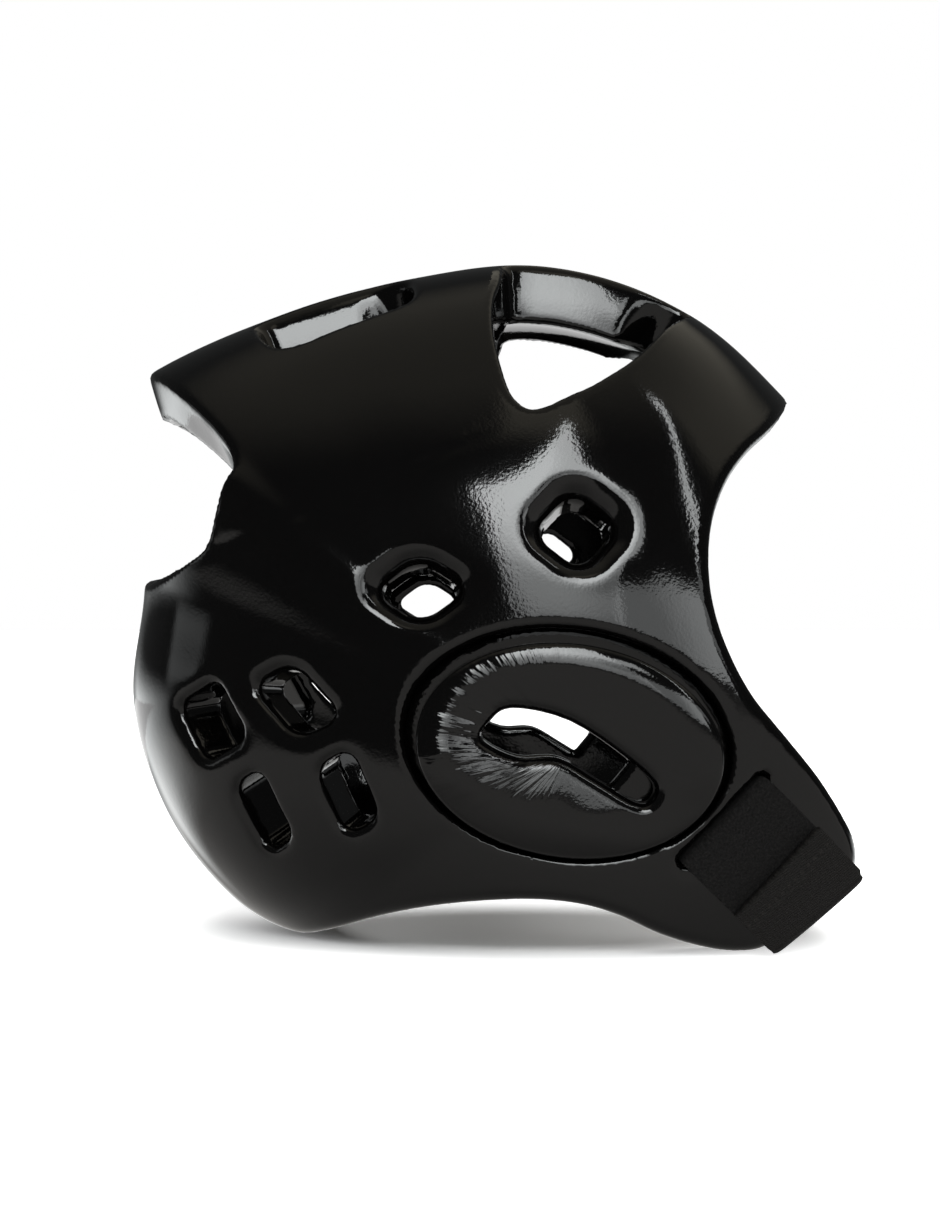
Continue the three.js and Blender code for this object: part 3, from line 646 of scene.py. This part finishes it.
def ribbon(lines, half):
    """Flat webbing round middle lines (across, along): both faces stand half a thickness off,
    thinning to rounded edges, as one closed ring of points carried along with capped ends."""
    along = np.gradient(lines, axis=1)
    over = np.gradient(lines, axis=0)
    normal = np.cross(along, over)
    normal /= np.linalg.norm(normal, axis=-1, keepdims=True)
    count, steps = lines.shape[:2]
    top, low = lines + normal * half[..., None], lines - normal * half[..., None]
    ring = np.concatenate([top, low[::-1]], axis=0)
    around = 2 * count
    i = np.arange(around)[:, None] * steps
    j = np.arange(steps - 1)[None]
    n = (i + steps) % (around * steps)
    quads = np.stack([i + j, i + j + 1, n + j + 1, n + j], -1).reshape(-1, 4)
    k = np.arange(count - 1)
    cap = np.stack([k, k + 1, around - 2 - k, around - 1 - k], -1) * steps
    faces = np.vstack([quads, cap, cap[:, ::-1] + steps - 1])
    gap = np.linalg.norm(np.diff(lines, axis=1), axis=-1)
    run = np.concatenate([np.zeros((count, 1)), np.cumsum(gap, axis=1)], axis=1)
    return ring.reshape(-1, 3), faces, np.concatenate([run, run[::-1]], axis=0).ravel()


def across_places(count):
    """Places across the webbing, closer together at its edges."""
    return 0.5 * WEB_WIDTH * np.sin(np.linspace(-math.pi / 2, math.pi / 2, count))


def edge_thickness(across, steps):
    """Half thickness across the webbing, (1 - share^14)^(1/2) of the full one: flat, and rounded
    off at the edges."""
    flat, least = 14, 0.08
    share = np.clip(np.abs(across) / (WEB_WIDTH / 2), 0, 1)
    half = WEB_THICK / 2 * np.maximum(1 - share**flat, least)**0.5
    return np.repeat(half[:, None], steps, 1)


def hem(run):
    """Extra thickness of the strap's turned end, from the distance to the end."""
    return HEM_THICK * smooth((HEM_LONG + HEM_EDGE / 2 - run) / HEM_EDGE)


def lay_weave(piece, across, run):
    """UV map of a webbing piece in centimetres: across it, and along it."""
    layer = piece.data.uv_layers.new(name="weave")
    at = np.zeros(len(piece.data.loops), np.int32)
    piece.data.loops.foreach_get("vertex_index", at)
    uv = np.stack([across, run], -1)[at] / 10
    layer.data.foreach_set("uv", uv.astype(np.float32).ravel())


def webbing_piece(name, lines, half, across):
    """A piece of webbing round its middle lines, with its weave laid on."""
    points, faces, run = ribbon(lines, half)
    piece = put_mesh(name, points, faces)
    steps = lines.shape[1]
    wide = np.repeat(np.concatenate([across, across[::-1]]), steps)
    lay_weave(piece, wide, run)
    return piece


class Wire:
    """A value in a node tree: sums on wires add Math nodes, and node() adds any other."""

    def __init__(self, tree, socket=None):
        self.tree, self.socket = tree, socket

    def node(self, kind, inputs=None, out=0, **settings):
        """Add a node: its settings first, then the values or links of its sockets."""
        made = self.tree.nodes.new(kind)
        for key, value in settings.items():
            setattr(made, key, value)
        for key, value in (inputs or {}).items():
            if isinstance(value, Wire):
                self.tree.links.new(value.socket, made.inputs[key])
            else:
                made.inputs[key].default_value = value
        return Wire(self.tree, made.outputs[out]) if made.outputs else made

    def sum(self, operation, *values):
        """Add a Math node on wires or numbers."""
        return self.node("ShaderNodeMath", dict(enumerate(values)), operation=operation)

    def __add__(self, other):
        return self.sum("ADD", self, other)

    def __sub__(self, other):
        return self.sum("SUBTRACT", self, other)

    def __rsub__(self, other):
        return self.sum("SUBTRACT", other, self)

    def __mul__(self, other):
        return self.sum("MULTIPLY", self, other)

    __radd__, __rmul__ = __add__, __mul__

    def between(self, low, high):
        """0 below low, 1 above high and a smooth step from one to the other."""
        return self.node("ShaderNodeMapRange", {"Value": self, "From Min": low, "From Max": high},
                         interpolation_type="SMOOTHSTEP")


def new_material(name):
    """An empty node material and a wire to build it with."""
    material = bpy.data.materials.new(name)
    material.use_nodes = True
    material.node_tree.nodes.clear()
    return material, Wire(material.node_tree)


def finish_material(wire, links, **fixed):
    """Principled surface: links vary over the piece, fixed values sit on the shader's sockets."""
    inputs = {key.replace("_", " "): value for key, value in fixed.items()}
    inputs.update(links)
    shader = wire.node("ShaderNodeBsdfPrincipled", inputs)
    wire.node("ShaderNodeOutputMaterial", {"Surface": shader})


def mixed(wire, share, first, second):
    """Colour between two colours."""
    return wire.node("ShaderNodeMix", {0: share, 6: first, 7: second}, out=2, data_type="RGBA")


def noise(wire, place, scale, detail=2.0, rough=0.5):
    """Noise over a place, from 0 to 1."""
    return wire.node("ShaderNodeTexNoise", {"Vector": place, "Scale": scale, "Detail": detail,
                                            "Roughness": rough})


def vinyl_material(name, wrinkled=None):
    """Dipped vinyl: black, glossy, with orange peel, fine grain and a little dust; a wrinkled
    piece also has fine radial wrinkles on one side of a middle given in metres."""
    material, wire = new_material(name)
    place = wire.node("ShaderNodeTexCoord", out="Object")
    grain = noise(wire, place, scale=1100.0, detail=1.0)
    peel = noise(wire, place, scale=170.0, detail=1.0)
    slow = noise(wire, place, scale=60.0)
    grain_deep, peel_deep = 1.7e-5, 2.5e-5
    height = grain * grain_deep + peel * peel_deep
    if wrinkled:
        folds_round, folds_out, fold_deep = 9.0, 45.0, 5.0e-4
        x = wire.node("ShaderNodeSeparateXYZ", {0: place}, out="X") - wrinkled[0]
        z = wire.node("ShaderNodeSeparateXYZ", {0: place}, out="Z") - wrinkled[1]
        behind = x * -1.0
        angle = wire.sum("ARCTAN2", z, behind)
        reach = wire.sum("SQRT", x * x + z * z)
        fan = wire.node("ShaderNodeCombineXYZ", {0: angle * folds_round, 1: reach * folds_out})
        fold = noise(wire, fan, scale=1.0, detail=3.0) * z.between(-0.022, -0.002)
        height = height + fold * behind.between(-0.004, 0.020) * fold_deep
    bump = wire.node("ShaderNodeBump", {"Height": height, "Strength": 1.0, "Distance": 1.0})
    dust = noise(wire, place, scale=1900.0, detail=3.0, rough=0.7).between(0.70, 0.80)
    dusty = dust * slow.between(0.58, 0.74)
    colour = mixed(wire, dusty * 0.5, VINYL_BLACK, DUST)
    polish, uneven, dull = 0.04, 0.04, 0.3
    rough = polish + slow * uneven + dusty * dull
    finish_material(wire, {"Base Color": colour, "Roughness": rough, "Normal": bump})
    return material


def webbing_material():
    """Woven elastic: ribs across, picks along, a slightly brown black, matte with some sheen."""
    material, wire = new_material("elastic_webbing")
    uv = wire.node("ShaderNodeUVMap", uv_map="weave")
    over = wire.node("ShaderNodeSeparateXYZ", {0: uv}, out="X")
    run = wire.node("ShaderNodeSeparateXYZ", {0: uv}, out="Y")
    rib_turn, pick_turn, pick_lean, stitch_turn, seam_at = 62.0, 78.0, 20.0, 24.0, 0.5
    ribs = wire.sum("SINE", over * rib_turn)
    picks = wire.sum("SINE", run * pick_turn + over * pick_lean)
    fuzz = noise(wire, uv, scale=60.0, detail=3.0, rough=0.7)
    seam = 1 - wire.sum("ABSOLUTE", run - seam_at).between(0.03, 0.07)
    stitch = seam * wire.sum("SINE", over * stitch_turn).between(-0.3, 0.3)
    height = ribs * 0.4 + picks * 0.6 + fuzz * 0.8 - seam * 2.0 + stitch * 2.5
    bump = wire.node("ShaderNodeBump", {"Height": height, "Strength": 0.7, "Distance": 0.0004})
    share = (picks * 0.25 + 0.5) * fuzz + stitch * 0.3
    colour = mixed(wire, share, ELASTIC_DARK, ELASTIC_PALE)
    finish_material(wire, {"Base Color": colour, "Normal": bump}, Roughness=0.85,
                    Specular_IOR_Level=0.25)
    return material


def pile_material():
    """Loop pile: short matted fibres, dark, matte, with a dull sheen."""
    material, wire = new_material("loop_pile")
    uv = wire.node("ShaderNodeUVMap", uv_map="weave")
    loops = wire.node("ShaderNodeTexVoronoi", {"Vector": uv, "Scale": 13.0}, out="Distance")
    fibre = noise(wire, uv, scale=15.0, detail=4.0, rough=0.75)
    bump = wire.node("ShaderNodeBump", {"Height": fibre - loops * 0.6, "Strength": 0.8,
                                        "Distance": 0.0006})
    share = fibre.between(0.35, 0.75)
    colour = mixed(wire, share, PILE_DARK, PILE_PALE)
    finish_material(wire, {"Base Color": colour, "Normal": bump}, Roughness=0.95,
                    Specular_IOR_Level=0.2)
    return material


def dress(piece, material, slot, *nodes):
    """Give a piece its finish and its body, and hide the CAD nodes that it stands for."""
    piece.data.materials.append(material)
    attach(piece, "root")
    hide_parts(*nodes)
    return piece


def make_shell(vinyl):
    """The foam shell, drawn from its field in dipped vinyl."""
    field, low = shell_field(SHELL_CELL)
    points, quads, normal = net(field, low, SHELL_CELL)
    shell = put_mesh("foam_shell_dipped", points, quads, normal)
    dress(shell, vinyl, "dipped_vinyl", "foam_shell")


def make_pads():
    """Both ear pads: the left one from its field, the right one its mirror image."""
    field, low = pad_field(PAD_CELL)
    middle = to_rest(np.array([[PAD[0], 0, PAD[1]]]))[0]
    vinyl = vinyl_material("dipped_vinyl_wrinkled", (middle[0], middle[2]))
    points, quads, normal = net(field, low, PAD_CELL)
    mirror = np.array([1, -1, 1])
    left = put_mesh("ear_pad_left_cushion", points, quads, normal)
    right = put_mesh("ear_pad_right_cushion", points * mirror, quads[:, ::-1], normal * mirror)
    dress(left, vinyl, "dipped_vinyl", "ear_pad_left")
    dress(right, vinyl, "dipped_vinyl", "ear_pad_right")


def make_webbing():
    """The loop tab out of the right slit; and the strap from its end on the tab round the right
    cheek, straight under the chin, round the left cheek and into the left slit."""
    wide, cheek_steps, end_steps, chin_steps = 25, 24, 34, 26
    webbing, pile = webbing_material(), pile_material()
    across = across_places(wide)
    end = CHEEK_END + CHEEK_SLOPE * across
    lip = np.full_like(across, FLAT_FROM)
    tab = np.concatenate([
        slit_run(RIGHT, across),
        cheek_run(RIGHT, across, ON_FOAM, lip, end - TAB_SHORT, cheek_steps),
    ], axis=1)
    piece = webbing_piece("loop_tab", tab[::-1], edge_thickness(across, tab.shape[1]), across)
    dress(piece, pile, "loop_pile", "loop_patch")
    left = np.concatenate([
        slit_run(LEFT, across),
        cheek_run(LEFT, across, ON_FOAM, lip, end - LEFT_SHORT, cheek_steps),
        chin_turn(LEFT, across, ON_FOAM),
    ], axis=1)
    last = np.full_like(across, STRAP_END)
    stop = end - RIGHT_SHORT
    turned = hem(np.linspace(0, 1, end_steps)[None] * (stop - STRAP_END)[:, None])
    right = np.concatenate([
        cheek_run(RIGHT, across, ON_TAB + turned / 2, last, stop, end_steps),
        chin_turn(RIGHT, across, ON_TAB),
    ], axis=1)
    t = np.linspace(0, 1, chin_steps)[1:-1, None]
    under = right[:, -1:, :] * (1 - t) + left[:, -1:, :] * t
    strap = np.concatenate([right, under, left[:, ::-1]], axis=1)[::-1]
    half = edge_thickness(across, strap.shape[1])
    half[:, :turned.shape[1]] *= 1 + turned[::-1] / WEB_THICK
    piece = webbing_piece("chin_strap_webbing", strap, half, across)
    dress(piece, webbing, "elastic_webbing", "chin_strap")


def make_camera():
    """The photograph's camera: along +Y, a little above the floor, framed by a small shift."""
    data = bpy.data.cameras.new("camera")
    data.lens = 60.65
    data.sensor_width = 36.0
    data.sensor_fit = "AUTO"
    data.shift_x = 0.0189
    data.shift_y = 0.0142
    camera = bpy.data.objects.new("camera", data)
    camera.location = (-0.01063, -0.680, 0.09708)
    camera.rotation_euler = (math.pi / 2, 0, 0)
    bpy.context.scene.collection.objects.link(camera)
    bpy.context.scene.camera = camera


def make_studio():
    """Light by direction, in degrees of turn from the camera's side to the right and of rise:
    a white sweep low behind, a dim warm ceiling and floor, and soft panels on the camera's side,
    each a product of smooth steps. The camera itself sees plain white."""
    world = bpy.data.worlds.new("studio")
    bpy.context.scene.world = world
    world.use_nodes = True
    world.node_tree.nodes.clear()
    wire = Wire(world.node_tree)
    way = wire.node("ShaderNodeTexCoord", out="Generated")
    x, y, z = (wire.node("ShaderNodeSeparateXYZ", {0: way}, out=axis) for axis in "XYZ")
    turn = wire.sum("ARCTAN2", x, y * -1.0) * (180 / math.pi)
    rise = wire.sum("ARCSINE", z) * (180 / math.pi)

    def band(value, low, high, soft):
        """1 from low to high and 0 beyond, with soft edges."""
        return value.between(low - soft, low + soft) * (1 - value.between(high - soft, high + soft))

    def panel(left, right, low, high, soft):
        """1 on a soft-edged panel between two turns and two rises."""
        return band(turn, left, right, soft) * band(rise, low, high, soft)

    # Behind: the sweep, dimmed straight behind, and a small panel beside it.
    behind = wire.sum("ABSOLUTE", turn)
    sweep = behind.between(95.0, 140.0) * rise.between(-28.0, -16.0) * (1 - rise.between(-5.0, 4.0))
    shade = behind.between(148.0, 160.0) * (1 - rise.between(-18.0, -12.0) * 0.3)
    back = sweep * (1 - shade) * 2.0 + panel(-110.0, -88.0, 2.0, 9.0, 3.0) * 0.5

    # Ceiling with a brighter panel in it, a wall to the right, and the floor up to its horizon.
    overhead = rise.between(46.0, 68.0)
    ceiling = overhead * 0.19 + panel(-8.0, 24.0, 50.0, 64.0, 4.0) * 0.4
    wall = turn.between(58.0, 70.0) * rise.between(30.0, 42.0) * (1 - overhead) * 0.34
    horizon = turn.between(-25.0, 5.0) * (1 - turn.between(75.0, 95.0)) * 19.0 - 11.5
    floor = (1 - (rise - horizon).between(-3.0, 3.0)) * (0.22 + rise.between(-58.0, -15.0) * 0.2)

    # Main panel: brighter higher up, weaker to the right, its left edge, top and upper right
    # corner slanted, and a short extension to the right.
    main = 2.5 + rise.between(11.0, 18.0) * 1.2 + rise.between(18.0, 35.0) * 7.5
    main = main * (turn + (rise - 12.0) * 0.28).between(-1.0, 1.0) * rise.between(8.8, 10.2)
    weak = 0.25 + rise.between(17.0, 21.0) * (1 - rise.between(27.0, 33.0)) * 0.35
    main = main * (1 - turn.between(5.0, 14.0) * weak) * (1 - turn.between(16.3, 17.7))
    main = main * (1 - (rise - turn * 0.4).between(46.0, 50.0))
    main = main * (1 - (rise * 1.5 - turn).between(63.0, 65.0))
    main = main + panel(17.0, 25.0, 28.0, 35.5, 1.2) * 4.5

    # Low panel to the right of it, brighter further right, its top bent, with an extension.
    low = panel(16.0, 41.0, 10.5, 30.0, 0.8) * (1.8 + turn.between(24.0, 35.0) * 1.8)
    low = low * (1 - (rise - turn.between(24.0, 32.0) * 2.0).between(19.8, 21.2))
    low = low + panel(41.0, 53.0, 17.0, 24.5, 1.2) * 1.5

    # Narrow leaning strip light further right.
    slant = turn - (rise - 26.0) * 0.62
    strip = band(slant, 41.1, 44.1, 0.5)
    strip = strip * rise.between(24.0, 27.0) * (1 - rise.between(56.0, 60.0)) * 7.0

    lifted = ceiling + wall
    warm = wire.node("ShaderNodeCombineXYZ", {0: lifted + floor, 1: lifted * 0.93 + floor * 0.97,
                                              2: lifted * 0.76 + floor * 0.93})
    bright = back + main + low + strip + 0.05
    cool = wire.node("ShaderNodeCombineXYZ", {0: bright * 0.97, 1: bright, 2: bright})
    light = wire.node("ShaderNodeVectorMath", {0: warm, 1: cool}, operation="ADD")
    seen = wire.node("ShaderNodeBackground", {"Color": WHITE, "Strength": 1.0})
    lit = wire.node("ShaderNodeBackground", {"Color": light, "Strength": 1.0})
    path = wire.node("ShaderNodeLightPath", out="Is Camera Ray")
    both_ways = wire.node("ShaderNodeMixShader", {0: path, 1: lit, 2: seen})
    wire.node("ShaderNodeOutputWorld", {"Surface": both_ways})

    size, watts = 2.0, 36.0
    lamp = bpy.data.lights.new("overhead", "AREA")
    lamp.shape, lamp.size, lamp.size_y, lamp.energy = "RECTANGLE", size, size, watts
    sky = bpy.data.objects.new("overhead", lamp)
    sky.location = (0, 0.2, 1.8)
    sky.visible_glossy = False
    sky.visible_camera = False
    bpy.context.scene.collection.objects.link(sky)


def stage_plane(name, low, high, height):
    """A level plane of the set between two corners."""
    mesh = bpy.data.meshes.new(name)
    corners = [(low[0], low[1]), (high[0], low[1]), (high[0], high[1]), (low[0], high[1])]
    mesh.from_pydata([(x, y, height) for x, y in corners], [], [(0, 1, 2, 3)])
    plane = bpy.data.objects.new(name, mesh)
    bpy.context.scene.collection.objects.link(plane)
    return plane


def make_floor():
    """A plain pale floor that glows, with a painted shadow: the glow fades to black in a soft oval
    under the guard. It is left out of the gloss so that only the studio shows in it; and a lit
    sheet on it behind the guard that shows in the gloss alone."""
    # Middle and half axes, in metres, of the oval of painted shadow under the guard.
    wide, middle, shadow_half_axes, glow = 30.0, (0.012, -0.028), (0.075, 0.042), (0.9, 0.9, 0.9, 1)
    floor = stage_plane("floor", (-wide, -wide), (wide, wide), 0.0)
    material, wire = new_material("floor_paper_painted_shadow")
    place = wire.node("ShaderNodeTexCoord", out="Object")
    moved = wire.node("ShaderNodeVectorMath", {0: place, 1: (-middle[0], -middle[1], 0)},
                      operation="ADD")
    inverse = (1 / shadow_half_axes[0], 1 / shadow_half_axes[1], 0)
    share = wire.node("ShaderNodeVectorMath", {0: moved, 1: inverse}, operation="MULTIPLY")
    reach = wire.node("ShaderNodeVectorMath", {0: share}, out="Value", operation="LENGTH")
    # Painted shadow: the floor's glow falls to black inside the oval under the guard.
    lit = mixed(wire, reach.between(0.7, 1.7), BLACK, glow)
    finish_material(wire, {"Emission Color": lit}, Base_Color=PAPER, Roughness=0.9,
                    Emission_Strength=1.0)
    floor.data.materials.append(material)
    floor.visible_glossy = False

    sheet = stage_plane("lit_sheet", (-0.7, 0.33), (0.7, 1.2), 0.001)
    material, wire = new_material("lit_sheet")
    finish_material(wire, {}, Base_Color=BLACK, Emission_Color=WHITE, Emission_Strength=1.3)
    sheet.data.materials.append(material)
    sheet.visible_camera = sheet.visible_diffuse = sheet.visible_shadow = False


bpy.context.scene.view_settings.view_transform = "Standard"
make_camera()
make_studio()
make_floor()
make_shell(vinyl_material("dipped_vinyl"))
make_pads()
make_webbing()
